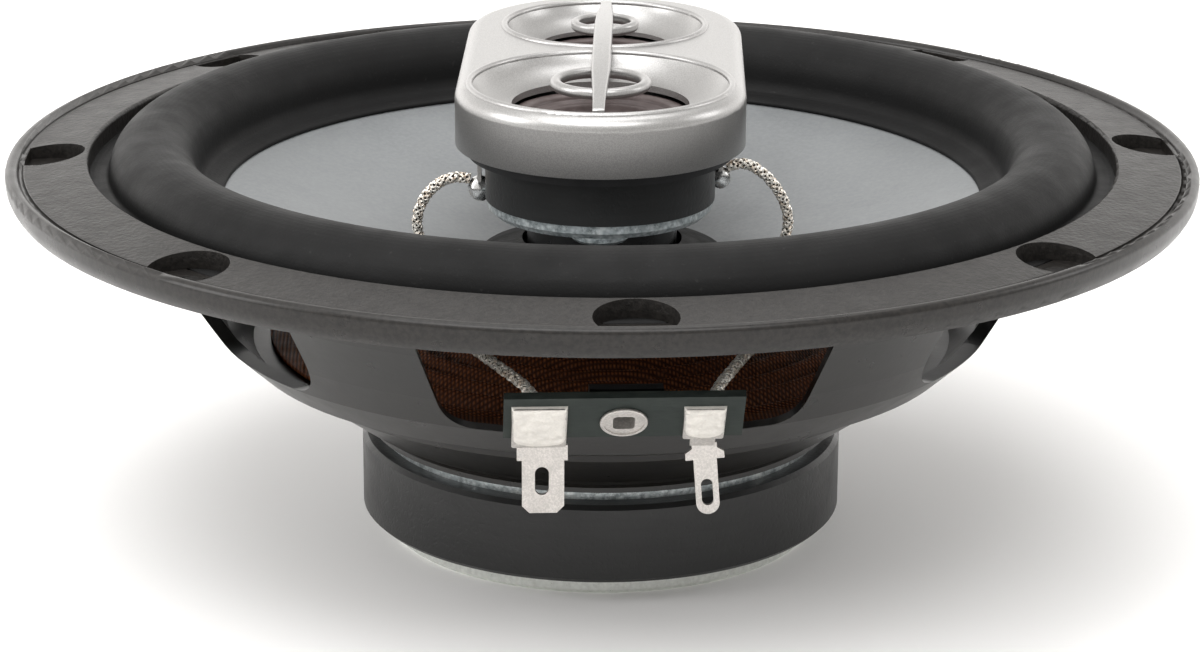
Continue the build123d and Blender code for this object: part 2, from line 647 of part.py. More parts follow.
# Rear leads run from the cone's back to the tabs on the board
REAR_ROUTES = {
    "left": [(-25.3, -7.8, -10.9), (-24.9, -12.5, -12.5), (-23.6, -20.5, -13.7), (-21.4, -29.0, -14.0),
             (-18.2, -37.1, -13.8), (-15.1, -43.1, -14.3), (-11.9, -49.6, -14.7),
             (-10.6, -57.0, -15.0)],
    "right": [(24.9, -9.1, -10.9), (24.6, -13.5, -12.5), (22.9, -21.5, -13.6), (20.5, -30.2, -13.8),
              (17.2, -39.0, -13.6), (14.6, -44.9, -14.1), (12.2, -50.5, -14.6),
              (10.6, -57.0, -15.0)],
}


def tube(name, points):
    """A round lead along straight runs joined by tangent arcs."""
    radii = bend_radii(points)
    with BuildPart() as lead:
        with BuildLine() as route:
            FilletPolyline(*points, radius=radii)
        path = route.wire()
        with BuildSketch(Plane(origin=path @ 0, z_dir=path % 0)):
            Circle(LEAD_R)
        sweep(path=path)
    expected = path.length * pi * LEAD_R**2
    print(name, "length", round(path.length, 2), "radii", [round(r, 2) for r in radii],
          "volume", round(lead.part.volume / expected, 4))
    save(lead.part, name)


for side, points in FRONT_ROUTES.items():
    tube(f"front_lead_{side}", [tuple(pod_point(*p)) for p in points])
for side, points in REAR_ROUTES.items():
    tube(f"rear_lead_{side}", points)
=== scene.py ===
"""Coaxial car speaker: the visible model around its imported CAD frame.

Everything is in metres, in the frame's own axes: +Z out of the front of the speaker, the
terminal board on the -Y side, the origin on the axis at the rear face of the flange.
"""

import bmesh
import bpy
import json
from math import cos, hypot, pi, radians, sin, sqrt, tau
from mathutils import Matrix, Vector, noise
import numpy as np


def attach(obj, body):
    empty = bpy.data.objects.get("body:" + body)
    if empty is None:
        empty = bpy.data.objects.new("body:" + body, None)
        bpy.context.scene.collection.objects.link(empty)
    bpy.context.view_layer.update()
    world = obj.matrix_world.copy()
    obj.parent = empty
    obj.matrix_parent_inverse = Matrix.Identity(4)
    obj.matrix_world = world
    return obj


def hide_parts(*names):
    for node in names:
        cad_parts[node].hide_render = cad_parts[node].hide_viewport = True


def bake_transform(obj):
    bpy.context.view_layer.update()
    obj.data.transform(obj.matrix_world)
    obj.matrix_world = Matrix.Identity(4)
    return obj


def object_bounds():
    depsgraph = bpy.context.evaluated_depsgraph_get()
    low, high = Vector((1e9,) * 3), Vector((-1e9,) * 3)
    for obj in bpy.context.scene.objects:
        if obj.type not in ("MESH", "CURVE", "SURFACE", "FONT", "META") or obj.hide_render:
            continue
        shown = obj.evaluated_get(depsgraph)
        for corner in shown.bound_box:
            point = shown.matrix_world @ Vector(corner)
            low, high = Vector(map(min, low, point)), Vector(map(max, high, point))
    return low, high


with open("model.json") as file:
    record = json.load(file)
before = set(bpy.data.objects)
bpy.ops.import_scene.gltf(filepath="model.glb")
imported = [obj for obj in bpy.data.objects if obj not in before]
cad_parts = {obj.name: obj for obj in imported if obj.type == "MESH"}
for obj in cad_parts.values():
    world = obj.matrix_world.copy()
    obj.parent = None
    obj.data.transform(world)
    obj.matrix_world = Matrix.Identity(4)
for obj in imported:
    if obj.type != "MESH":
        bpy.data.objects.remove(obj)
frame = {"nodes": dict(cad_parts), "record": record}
cad_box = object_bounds()
nodes = frame["nodes"]
scene = bpy.context.scene
MM = 0.001


# ================================================================ camera
CAMERA_PLACE = Vector((-26.13, -482.37, 132.96)) * MM
CAMERA_AIM = Vector((0.0511, 0.9507, -0.3060)).normalized()
CAMERA_ROLL = 0.0051    # radians
CAMERA_LENS = 106.7
SENSOR_WIDTH = 36


def make_camera():
    """A long lens in front of the speaker, a little above the flange and slightly to its left."""
    camera = bpy.data.objects.new("camera", bpy.data.cameras.new("camera"))
    scene.collection.objects.link(camera)
    right = CAMERA_AIM.cross(Vector((0, 0, 1))).normalized()
    up = right.cross(CAMERA_AIM)
    side = right * cos(CAMERA_ROLL) + up * sin(CAMERA_ROLL)
    top = up * cos(CAMERA_ROLL) - right * sin(CAMERA_ROLL)
    turn = Matrix((side, top, -CAMERA_AIM)).transposed()
    camera.matrix_world = Matrix.Translation(CAMERA_PLACE) @ turn.to_4x4()
    camera.data.lens = CAMERA_LENS
    camera.data.sensor_width = SENSOR_WIDTH
    camera.data.clip_start = 0.01
    camera.data.clip_end = 20
    scene.camera = camera


make_camera()


# ================================================================ floor and light
FLOOR_Z = cad_box[0].z
FLOOR_SIZE = 12


def make_floor():
    """A plain pale floor under the back plate."""
    bpy.ops.mesh.primitive_plane_add(size=FLOOR_SIZE, location=(0, 0, FLOOR_Z))
    floor = bpy.context.object
    floor.name = "floor"
    mat = bpy.data.materials.new("floor_white")
    mat.use_nodes = True
    shader = mat.node_tree.nodes["Principled BSDF"]
    shader.inputs["Base Color"].default_value = (0.93, 0.925, 0.92, 1)
    shader.inputs["Roughness"].default_value = 0.75
    shader.inputs["Specular IOR Level"].default_value = 0.2
    floor.data.materials.append(mat)


def area_light(name, place, aim, size, power):
    """A rectangular soft light at place, facing aim, both in metres."""
    data = bpy.data.lights.new(name, "AREA")
    data.shape = "RECTANGLE"
    data.size, data.size_y = size
    data.energy = power
    lamp = bpy.data.objects.new(name, data)
    scene.collection.objects.link(lamp)
    lamp.location = place
    lamp.rotation_mode = "QUATERNION"
    lamp.rotation_quaternion = (Vector(aim) - Vector(place)).to_track_quat("-Z", "Y")


def make_world():
    """A white studio: brightest low behind the object and on its left, dimmer towards the camera."""
    world = bpy.data.worlds.new("studio")
    world.use_nodes = True
    tree = world.node_tree
    split = tree.nodes.new("ShaderNodeSeparateXYZ")
    tree.links.new(tree.nodes.new("ShaderNodeTexCoord").outputs["Generated"], split.inputs[0])

    def rise(axis, start, end, low, high):
        """A smooth step from low to high as the direction's part along an axis goes from start to end."""
        part = tree.nodes.new("ShaderNodeMapRange")
        part.interpolation_type = "SMOOTHSTEP"
        tree.links.new(split.outputs[axis], part.inputs["Value"])
        for name, value in zip(("From Min", "From Max", "To Min", "To Max"), (start, end, low, high)):
            part.inputs[name].default_value = value
        return part.outputs["Result"]

    def join(operation, a, b):
        """The sum or the product of two values."""
        node = tree.nodes.new("ShaderNodeMath")
        node.operation = operation
        tree.links.new(a, node.inputs[0])
        tree.links.new(b, node.inputs[1])
        return node.outputs[0]

    behind = join("MULTIPLY", rise("Y", -0.1, 0.85, 0.0, 1.0), rise("Z", 0.14, 0.55, 1.05, 0.15))
    sides = join("ADD", rise("X", 0.2, -0.95, 0.0, 0.30), rise("Z", 0.0, 0.6, 0.70, 0.88))
    tree.links.new(join("ADD", behind, sides), tree.nodes["Background"].inputs["Strength"])
    tree.nodes["Background"].inputs["Color"].default_value = (1.0, 0.982, 0.96, 1)
    scene.world = world


def make_lights():
    """Four large soft lamps, and colours shown without a film look."""
    area_light("overhead", (-0.10, 0.10, 1.10), (0, 0, 0), (1.3, 0.7), 6.0)
    area_light("left_box", (-1.0, -0.15, 0.50), (0, 0, -0.02), (0.5, 0.6), 4.2)
    area_light("right_box", (1.0, 0.10, 0.50), (0, 0, -0.02), (0.35, 0.5), 1.6)
    area_light("front_top", (-0.10, -0.62, 1.0), (0, -0.05, -0.03), (1.2, 0.45), 8.0)
    scene.view_settings.view_transform = "Standard"
    scene.view_settings.look = "None"


make_floor()
make_world()
make_lights()


# ================================================================ materials
class Graph:
    """A small writer for node trees: every helper returns the socket that it makes."""

    def __init__(self, name):
        self.mat = bpy.data.materials.new(name)
        self.mat.use_nodes = True
        self.tree = self.mat.node_tree
        self.shader = self.tree.nodes["Principled BSDF"]
        place = self.tree.nodes.new("ShaderNodeTexCoord")
        self.place = place.outputs["Object"]

    def link(self, value, socket):
        if isinstance(value, bpy.types.NodeSocket):
            self.tree.links.new(value, socket)
        elif isinstance(value, (tuple, list)) and len(value) == 3 and socket.type == "RGBA":
            socket.default_value = (*value, 1)
        else:
            socket.default_value = value

    def noise(self, scale, detail=3.0, rough=0.55, vector=None):
        node = self.tree.nodes.new("ShaderNodeTexNoise")
        self.link(vector or self.place, node.inputs["Vector"])
        node.inputs["Scale"].default_value = scale
        node.inputs["Detail"].default_value = detail
        node.inputs["Roughness"].default_value = rough
        return node.outputs["Fac"]

    def cells(self, scale, vector=None):
        node = self.tree.nodes.new("ShaderNodeTexVoronoi")
        self.link(vector or self.place, node.inputs["Vector"])
        node.inputs["Scale"].default_value = scale
        return node.outputs["Distance"]

    def maths(self, operation, *values):
        node = self.tree.nodes.new("ShaderNodeMath")
        node.operation = operation
        for value, socket in zip(values, node.inputs):
            self.link(value, socket)
        return node.outputs[0]

    def ramp(self, value, low, high, to_low=0.0, to_high=1.0):
        node = self.tree.nodes.new("ShaderNodeMapRange")
        self.link(value, node.inputs["Value"])
        for name, number in zip(("From Min", "From Max", "To Min", "To Max"), (low, high, to_low, to_high)):
            node.inputs[name].default_value = number
        return node.outputs["Result"]

    def mix(self, share, a, b):
        node = self.tree.nodes.new("ShaderNodeMix")
        node.data_type = "RGBA"
        for value, socket in ((share, node.inputs[0]), (a, node.inputs[6]), (b, node.inputs[7])):
            self.link(value, socket)
        return node.outputs[2]

    def axes(self):
        node = self.tree.nodes.new("ShaderNodeSeparateXYZ")
        self.link(self.place, node.inputs[0])
        return node.outputs

    def vector(self, x, y, z):
        node = self.tree.nodes.new("ShaderNodeCombineXYZ")
        for value, socket in zip((x, y, z), node.inputs):
            self.link(value, socket)
        return node.outputs[0]

    def radius(self):
        """Distance from the speaker's axis, in millimetres."""
        x, y, _ = self.axes()
        squares = self.maths("ADD", self.maths("MULTIPLY", x, x), self.maths("MULTIPLY", y, y))
        return self.maths("DIVIDE", self.maths("SQRT", squares), MM)

    def bump(self, height, distance, strength=1.0, under=None):
        node = self.tree.nodes.new("ShaderNodeBump")
        self.link(height, node.inputs["Height"])
        node.inputs["Distance"].default_value = distance
        node.inputs["Strength"].default_value = strength
        if under is not None:
            self.link(under, node.inputs["Normal"])
        return node.outputs[0]

    def finish(self, colour, roughness, metallic=0.0, normal=None, **constants):
        self.link(colour, self.shader.inputs["Base Color"])
        self.link(roughness, self.shader.inputs["Roughness"])
        self.link(metallic, self.shader.inputs["Metallic"])
        if normal is not None:
            self.link(normal, self.shader.inputs["Normal"])
        for name, value in constants.items():
            self.link(value, self.shader.inputs[name.replace("_", " ")])
        return self.mat


def tint(colour, factor):
    """The colour made darker or lighter."""
    return tuple(min(1.0, c * factor) for c in colour)


def moulded(name, colour, rough, grain=2600, height=0.00004, cloud=60, vary=0.18, metallic=0.0,
            rough_vary=0.08, strength=0.5, **constants):
    """Cast, painted or moulded stuff: clouded colour, uneven gloss and a fine grain."""
    g = Graph(name)
    clouds = g.noise(cloud, 4)
    fine = g.noise(grain, 2)
    base = g.mix(g.ramp(clouds, 0.3, 0.7), tint(colour, 1 - vary), tint(colour, 1 + vary))
    gloss = g.ramp(g.noise(cloud * 6, 3), 0.3, 0.7, rough - rough_vary, rough + rough_vary)
    return g.finish(base, gloss, metallic, g.bump(fine, height, strength), **constants)


def basket_paint():
    """Black stoved paint on pressed steel, with a slight orange peel."""
    g = Graph("basket_paint")
    peel = g.noise(900, 2)
    base = g.mix(g.ramp(g.noise(70, 4), 0.3, 0.7), (0.003, 0.0026, 0.0020), (0.007, 0.0060, 0.0047))
    gloss = g.ramp(g.noise(260, 4), 0.3, 0.7, 0.27, 0.33)
    bumps = g.bump(peel, 0.00004, 0.25)
    return g.finish(base, gloss, 0.0, bumps)


def trim_plastic():
    """Dark warm grey ring: sandy on its flat face, smooth on its lip and skirt."""
    g = Graph("trim_plastic")
    inside_lip = g.ramp(g.radius(), 80.1, 80.5, 1.0, 0.06)
    above_skirt = g.ramp(g.axes()[2], 0.0012, 0.0030)
    flat = g.maths("MULTIPLY", inside_lip, above_skirt)
    sand = g.noise(1500, 3, 0.7)
    dust = g.noise(45, 3)
    base = g.mix(g.ramp(sand, 0.38, 0.62), (0.006, 0.0053, 0.0047), (0.018, 0.0160, 0.0142))
    base = g.mix(g.ramp(dust, 0.3, 0.75, 0.0, 0.25), base, (0.020, 0.018, 0.017))
    gloss = g.maths("ADD", g.ramp(g.noise(300, 3), 0.3, 0.7, 0.26, 0.34), g.maths("MULTIPLY", flat, 0.14))
    height = g.maths("MULTIPLY", g.maths("ADD", sand, g.maths("MULTIPLY", g.cells(1100), 0.4)), flat)
    fine = g.bump(g.noise(3000, 2), 0.00002, 0.25)
    return g.finish(base, gloss, 0.0, g.bump(height, 0.00016, 0.7, fine), Specular_IOR_Level=0.33)


def surround_rubber():
    """Satin rubber with a bloom, faint moulding rings and specks of dust."""
    g = Graph("surround_rubber")
    bloom = g.noise(38, 4)
    specks = g.noise(1700, 2)
    base = g.mix(g.ramp(bloom, 0.3, 0.7), (0.0030, 0.0030, 0.0031), (0.0070, 0.0069, 0.0070))
    base = g.mix(g.ramp(specks, 0.66, 0.78, 0.0, 0.35), base, (0.04, 0.039, 0.038))
    rings = g.maths("SINE", g.maths("MULTIPLY", g.radius(), 9.0))
    gloss = g.ramp(g.noise(220, 3), 0.3, 0.7, 0.50, 0.62)
    fine = g.bump(g.noise(2400, 3, 0.65), 0.00007, 0.5)
    return g.finish(base, gloss, 0.0, g.bump(rings, 0.000012, 0.35, fine), Specular_IOR_Level=0.16)


def cone_polymer():
    """Silver-grey cone with a fine turned grain and soft clouds."""
    g = Graph("cone_polymer")
    turned = g.noise(1, 4, 0.6, g.vector(g.maths("MULTIPLY", g.radius(), 5.0), 0.0, 0.0))
    grain = g.noise(1500, 3, 0.6)
    base = g.mix(g.ramp(g.noise(30, 3), 0.3, 0.7), (0.215, 0.226, 0.234), (0.26, 0.271, 0.278))
    base = g.mix(g.ramp(grain, 0.35, 0.7, 0.0, 0.35), base, (0.33, 0.342, 0.348))
    gloss = g.ramp(g.noise(160, 3), 0.3, 0.7, 0.36, 0.46)
    height = g.maths("ADD", grain, g.maths("MULTIPLY", turned, 0.35))
    return g.finish(base, gloss, 0.55, g.bump(height, 0.00004, 0.45))


def spider_cloth():
    """Resin-stiffened woven cloth: warp and weft over a mottled brown."""
    threads_per_metre = 1900
    g = Graph("spider_cloth")
    x, y, _ = g.axes()
    warp = g.maths("SINE", g.maths("MULTIPLY", x, tau * threads_per_metre))
    weft = g.maths("SINE", g.maths("MULTIPLY", y, tau * threads_per_metre))
    weave = g.maths("MULTIPLY", g.maths("ADD", warp, 1.0), g.maths("ADD", weft, 1.0))
    base = g.mix(g.ramp(weave, 0.0, 4.0), (0.055, 0.013, 0.003), (0.42, 0.140, 0.044))
    base = g.mix(g.ramp(g.noise(120, 4), 0.35, 0.7, 0.0, 0.4), base, (0.085, 0.022, 0.006))
    gloss = g.ramp(g.noise(500, 3), 0.3, 0.7, 0.5, 0.7)
    return g.finish(base, gloss, 0.0, g.bump(weave, 0.00008, 0.6), Specular_IOR_Level=0.2)


def pod_silver():
    """Silver paint on moulded plastic: fine metal flakes under a satin skin."""
    g = Graph("pod_silver")
    flakes = g.cells(6500)
    sparkle = g.noise(5200, 2)
    base = g.mix(g.ramp(flakes, 0.1, 0.65), (0.50, 0.494, 0.486), (0.36, 0.355, 0.350))
    base = g.mix(g.ramp(g.noise(50, 3), 0.3, 0.7, 0.0, 0.25), base, (0.41, 0.405, 0.399))
    gloss = g.ramp(sparkle, 0.3, 0.7, 0.30, 0.37)
    return g.finish(base, gloss, 0.95, g.bump(sparkle, 0.000022, 0.45), Coat_Weight=0.1,
                    Coat_Roughness=0.3)


def ferrite():
    """Ground ceramic magnet under black lacquer: faint bands, pits and pale scuffs."""
    colour = (0.006, 0.0062, 0.0061)
    g = Graph("ferrite")
    x, y, z = g.axes()
    bands = g.noise(1, 3, 0.6, g.vector(g.maths("MULTIPLY", x, 90), g.maths("MULTIPLY", y, 90),
                                        g.maths("MULTIPLY", z, 1400)))
    scuffs = g.noise(240, 6, 0.75)
    base = g.mix(g.ramp(bands, 0.3, 0.7), tint(colour, 0.75), tint(colour, 1.3))
    base = g.mix(g.ramp(scuffs, 0.66, 0.8, 0.0, 0.3), base, (0.03, 0.031, 0.031))
    gloss = g.ramp(g.noise(130, 4), 0.3, 0.7, 0.34, 0.5)
    pits = g.ramp(g.noise(1600, 2), 0.2, 0.5)
    return g.finish(base, gloss, 0.0, g.bump(pits, 0.00006, 0.4))


def zinc_plate():
    """Bright zinc plating, bluish, with a crystalline mottle, dull patches, turned marks, and painted light
    on the back plate.
    """
    g = Graph("zinc_plate")
    spangle = g.cells(1500)
    patches = g.noise(900, 4, 0.75)
    turned = g.noise(1, 4, 0.6, g.vector(g.maths("MULTIPLY", g.radius(), 6.0), 0.0, 0.0))
    base = g.mix(g.ramp(spangle, 0.1, 0.7), (0.60, 0.64, 0.645), (0.34, 0.375, 0.385))
    base = g.mix(g.ramp(patches, 0.50, 0.62, 0.0, 0.7), base, (0.13, 0.15, 0.15))
    base = g.mix(g.ramp(g.noise(420, 3), 0.55, 0.7, 0.0, 0.6), base, (0.80, 0.83, 0.81))
    # Painted light: the back plate, below these heights in metres, is painted paler than the plates above it,
    # which sit in the basket's shade
    back_plate_painted_light = g.ramp(g.axes()[2], -0.0455, -0.0470, 0.0, 0.65)
    base = g.mix(back_plate_painted_light, base, (0.93, 0.94, 0.88))
    gloss = g.ramp(patches, 0.3, 0.7, 0.26, 0.44)
    height = g.maths("ADD", turned, g.maths("MULTIPLY", spangle, 0.6))
    return g.finish(base, gloss, 0.75, g.bump(height, 0.00006, 0.5))


def tinned(name, colour=(0.62, 0.59, 0.56), rough=0.36, lumps=0.00006, metallic=0.7, speckle=0.45):
    """Tin over brass: a fine sparkle, dull clouds, and dark specks."""
    g = Graph(name)
    clouds = g.noise(380, 5, 0.65)
    grain = g.noise(3800, 2, 0.7)
    specks = g.noise(1100, 4, 0.7)
    base = g.mix(g.ramp(clouds, 0.3, 0.7), tint(colour, 0.82), colour)
    base = g.mix(g.ramp(grain, 0.42, 0.62, speckle, 0.0), base, tint(colour, 0.45))
    base = g.mix(g.ramp(specks, 0.68, 0.76, 0.0, 0.8), base, (0.10, 0.085, 0.07))
    gloss = g.ramp(grain, 0.3, 0.7, rough - 0.08, rough + 0.14)
    return g.finish(base, gloss, metallic, g.bump(g.noise(900, 4, 0.6), lumps, 0.5))


def board_fibre():
    """Pressed fibre board, dark green-grey, with pale dust in its grain."""
    g = Graph("board_fibre")
    stretch = [g.maths("MULTIPLY", v, k) for v, k in zip(g.axes(), (700, 2200, 2200))]
    fibre = g.noise(1, 5, 0.7, g.vector(*stretch))
    base = g.mix(g.ramp(fibre, 0.3, 0.7), (0.012, 0.016, 0.0145), (0.030, 0.037, 0.033))
    base = g.mix(g.ramp(g.noise(140, 4), 0.5, 0.8, 0.0, 0.4), base, (0.045, 0.052, 0.046))
    return g.finish(base, g.ramp(fibre, 0.3, 0.7, 0.5, 0.72), 0.0, g.bump(fibre, 0.00005, 0.5),
                    Specular_IOR_Level=0.2)


def diaphragm_film():
    """Formed film, mauve-brown, with a fine grain and a soft gloss."""
    g = Graph("diaphragm_film")
    grain = g.noise(1300, 4, 0.7)
    base = g.mix(g.ramp(g.noise(260, 4), 0.3, 0.7), (0.050, 0.034, 0.033), (0.10, 0.076, 0.073))
    base = g.mix(g.ramp(grain, 0.55, 0.75, 0.0, 0.35), base, (0.16, 0.13, 0.125))
    return g.finish(base, g.ramp(grain, 0.3, 0.7, 0.28, 0.44), 0.1, g.bump(grain, 0.00004, 0.4))


def braid_wire():
    """Tinned copper strands with copper showing through."""
    g = Graph("braid_wire")
    patches = g.noise(1100, 3, 0.6)
    base = g.mix(g.ramp(patches, 0.45, 0.75), (0.92, 0.89, 0.83), (0.70, 0.55, 0.42))
    return g.finish(base, g.ramp(g.noise(2500, 3), 0.3, 0.7, 0.22, 0.42), 0.92,
                    g.bump(g.noise(4000, 2), 0.00003, 0.5))


def make_materials():
    """Every material by its name. Those that the CAD nodes wear are named as the record's slots."""
    return {
        "basket_paint": basket_paint(),
        "trim_plastic": trim_plastic(),
        "surround_rubber": surround_rubber(),
        "spider_cloth": spider_cloth(),
        "cone_polymer": cone_polymer(),
        "collar_cloth": moulded("collar_cloth", (0.003, 0.003, 0.003), 0.5, 1800, 0.00010, strength=0.8,
                                Specular_IOR_Level=0.15),
        "former_film": moulded("former_film", (0.012, 0.011, 0.011), 0.35, 900, 0.00003),
        "coil_copper": moulded("coil_copper", (0.60, 0.24, 0.11), 0.3, 2200, 0.00006, metallic=0.9),
        "zinc_plate": zinc_plate(),
        "ferrite": ferrite(),
        "steel_fastener": moulded("steel_fastener", (0.42, 0.43, 0.45), 0.34, 1200, 0.00005, metallic=0.9),
        "pedestal_plastic": moulded("pedestal_plastic", (0.003, 0.003, 0.003), 0.3, 1500, 0.00003,
                                    Specular_IOR_Level=0.3),
        "pod_silver": pod_silver(),
        "housing_plastic": moulded("housing_plastic", (0.012, 0.012, 0.013), 0.42, 1700, 0.00006),
        "capacitor_sleeve": moulded("capacitor_sleeve", (0.012, 0.016, 0.05), 0.25, 1300, 0.00003),
        "diaphragm_film": diaphragm_film(),
        "board_fibre": board_fibre(),
        "tinned_brass": tinned("tinned_brass"),
        "lead_braid": braid_wire(),
        # lead_core: the braid's real core, darkened as painted shade that shows through the gaps between the
        # strands
        "lead_core": moulded("lead_core", (0.060, 0.044, 0.032), 0.6, 2400, 0.00008, strength=0.8),
        "solder": tinned("solder", (0.70, 0.70, 0.69), 0.22, 0.00008, 0.95, 0.1),
        "solder_coat": tinned("solder_coat", (0.78, 0.75, 0.70), 0.42, 0.00016, 0.3, 0.15),
    }


materials = make_materials()
node_slot = {row["node"]: row["material_slot"] for row in frame["record"]["subparts"]}
for node, obj in nodes.items():
    obj.data.materials.clear()
    obj.data.materials.append(materials[node_slot[node]])


# ================================================================ mesh helpers
def add_piece(name, mesh, body, material, stands_for=()):
    """A finished mesh as a piece that rides on a body, when one is given."""
    piece = bpy.data.objects.new(name, mesh)
    scene.collection.objects.link(piece)
    mesh.materials.append(materials[material])
    for polygon in mesh.polygons:
        polygon.use_smooth = True
    if body is not None:
        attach(piece, body)
    if stands_for:
        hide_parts(*stands_for)
    return piece


def finish_mesh(bm, name):
    """The built mesh with its faces turned outwards."""
    bmesh.ops.recalc_face_normals(bm, faces=bm.faces)
    mesh = bpy.data.meshes.new(name)
    bm.to_mesh(mesh)
    bm.free()
    return mesh


def lathe(name, section, steps=192, centre=(0, 0)):
    """A closed ring of revolution. The section is a list of (radius, height) in millimetres."""
    bm = bmesh.new()
    rings = []
    for k in range(steps):
        angle = tau * k / steps
        ring = []
        for r, z in section:
            x = centre[0] + r * cos(angle)
            y = centre[1] + r * sin(angle)
            ring.append(bm.verts.new((x * MM, y * MM, z * MM)))
        rings.append(ring)
    count = len(section)
    for k in range(steps):
        here, there = rings[k], rings[(k + 1) % steps]
        for i in range(count):
            j = (i + 1) % count
            bm.faces.new((here[i], there[i], there[j], here[j]))
    bmesh.ops.remove_doubles(bm, verts=bm.verts, dist=1e-7)
    bmesh.ops.dissolve_degenerate(bm, dist=1e-8, edges=bm.edges)
    return finish_mesh(bm, name)


def close_rings(bm, rings):
    """Faces between the rings of vertices, and a cap on each end."""
    count = len(rings[0])
    for a, b in zip(rings, rings[1:]):
        for k in range(count):
            bm.faces.new((a[k], a[(k + 1) % count], b[(k + 1) % count], b[k]))
    bm.faces.new(rings[0][::-1])
    bm.faces.new(rings[-1])


def arc(centre, radius, start, end, count):
    """Points on an arc in a plane. Angles are in degrees."""
    points = []
    for i in range(count + 1):
        angle = radians(start + (end - start) * i / count)
        points.append((centre[0] + radius * cos(angle), centre[1] + radius * sin(angle)))
    return points


def smooth_step(t):
    """0 below 0, 1 above 1, and a smooth rise between."""
    t = min(1.0, max(0.0, t))
    return t * t * (3 - 2 * t)


def blend_by(piece, share):
    """Bakes the piece's placement into its mesh and works out a weight for each vertex from share(point in
    mm), which is 0 on the frame and 1 on the cone.
    """
    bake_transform(piece)
    weights = [smooth_step(share(v.co / MM)) for v in piece.data.vertices]


# ================================================================ surround
ROLL_INNER, ROLL_OUTER = 56.2, 69.0     # radii between which the rubber bends
ROLL_CENTRE, ROLL_HALF_WIDTH = 62.6, 6.15
ROLL_TOP = 8.0
ROLL_STEPS = 36
RUBBER_T = 0.62


def roll_section():
    """The rubber's top line from its lip on the cone, over the half roll, to the clamped edge."""
    top = [(53.0, -1.62), (53.05, -1.28), (53.35, -1.12), (54.6, -0.78), (55.6, -0.46), (ROLL_INNER, -0.08)]
    for i in range(1, ROLL_STEPS):
        angle = pi * (1 - i / ROLL_STEPS)
        foot = 0.45 + 1.35 * (i / ROLL_STEPS)
        rise = (ROLL_TOP - foot) * sin(angle) ** 0.86
        top.append((ROLL_CENTRE + ROLL_HALF_WIDTH * cos(angle), foot + rise))
    top += [(68.85, 2.0), (69.4, 1.92), (71.4, 1.9), (73.9, 1.88)]
    return top


def make_surround():
    """The rubber half roll, as a closed skin between the frame and the cone."""
    top = roll_section()
    under = []
    for i, (r, z) in enumerate(top):
        a, b = top[max(i - 1, 0)], top[min(i + 1, len(top) - 1)]
        along = Vector((b[0] - a[0], b[1] - a[1])).normalized()
        under.append((r + along.y * RUBBER_T, z - along.x * RUBBER_T))
    under[0] = (53.05, -1.74)
    mesh = lathe("surround_roll", top + under[::-1], 256)
    piece = add_piece("surround_roll", mesh, None, "surround_rubber", ["surround"])
    blend_by(piece, lambda p: (ROLL_OUTER - hypot(p.x, p.y)) / (ROLL_OUTER - ROLL_INNER))


# ================================================================ spider
SPIDER_INNER, SPIDER_OUTER = 13.05, 47.0
SPIDER_Z, SPIDER_T = -21.7, 0.5
WAVES_START, WAVES_END = 15.0, 44.5     # radii of the corrugated stretch
WAVES = 6.5
WAVE_HEIGHT = 1.15
SPIDER_FIXED = 44.0     # radius at which the cloth's weight falls to 0
SPIDER_STEPS = 150


def make_spider():
    """The corrugated cloth between the basket and the voice coil's former."""
    top = []
    for i in range(SPIDER_STEPS + 1):
        r = SPIDER_INNER + (SPIDER_OUTER - SPIDER_INNER) * i / SPIDER_STEPS
        share = smooth_step((r - WAVES_START) / 4.0) * smooth_step((WAVES_END - r) / 3.0)
        wave = WAVE_HEIGHT * sin(tau * WAVES * (r - WAVES_START) / (WAVES_END - WAVES_START)) * share
        neck = 1.2 * (1 - smooth_step((r - SPIDER_INNER) / 2.0))
        top.append((r, SPIDER_Z + wave + neck))
    under = [(r, z - SPIDER_T) for r, z in top]
    mesh = lathe("spider_corrugated", top + under[::-1], 192)
    piece = add_piece("spider_corrugated", mesh, None, "spider_cloth", ["spider"])
    blend_by(piece, lambda p: (SPIDER_FIXED - hypot(p.x, p.y)) / (SPIDER_FIXED - WAVES_START))


make_surround()
make_spider()


# ================================================================ small diaphragms
POD_YAW = radians(-4)
DRIVER_OFFSET = 17.5    # from the speaker's axis to each small driver's
DIAPHRAGM_TOP = 13.0
DOME_DEPTH = 2.0
FILM_T = 0.22
EDGE_WIDTH = 2.2        # of the rolled edge


def pod_point(x, y, z=0.0):
    """A point given along the pod's own axes, in millimetres."""
    return Vector((x * cos(POD_YAW) - y * sin(POD_YAW), x * sin(POD_YAW) + y * cos(POD_YAW), z))


def make_diaphragm(name, node, body, y, coil_r, rim_r):
    """A dome inside the coil, a pressed cone with raised rings, and a rolled edge."""
    dome_steps, cone_steps, edge_steps = 12, 40, 12
    top = [(0.0, DIAPHRAGM_TOP)]
    for i in range(1, dome_steps + 1):
        r = coil_r * i / dome_steps
        top.append((r, DIAPHRAGM_TOP - DOME_DEPTH * (r / coil_r) ** 2))
    edge = rim_r - EDGE_WIDTH
    low = DIAPHRAGM_TOP - DOME_DEPTH
    for i in range(1, cone_steps + 1):
        t = i / cone_steps
        ripple = 0.16 * sin(t * tau * 2.0) * sin(pi * t)
        top.append((coil_r + (edge - coil_r) * t, low + DOME_DEPTH * t ** 0.8 + ripple))
    for i in range(1, edge_steps + 1):
        t = i / edge_steps
        r = edge + (rim_r - edge) * (1 - cos(pi * t)) / 2
        top.append((r, DIAPHRAGM_TOP + 0.62 * sin(pi * t) + 0.1 * t))
    under = [(r, z - FILM_T) for r, z in reversed(top)]
    centre = pod_point(0, y)
    mesh = lathe(name, top + under, 128, (centre.x, centre.y))
    add_piece(name, mesh, body, "diaphragm_film", [node])


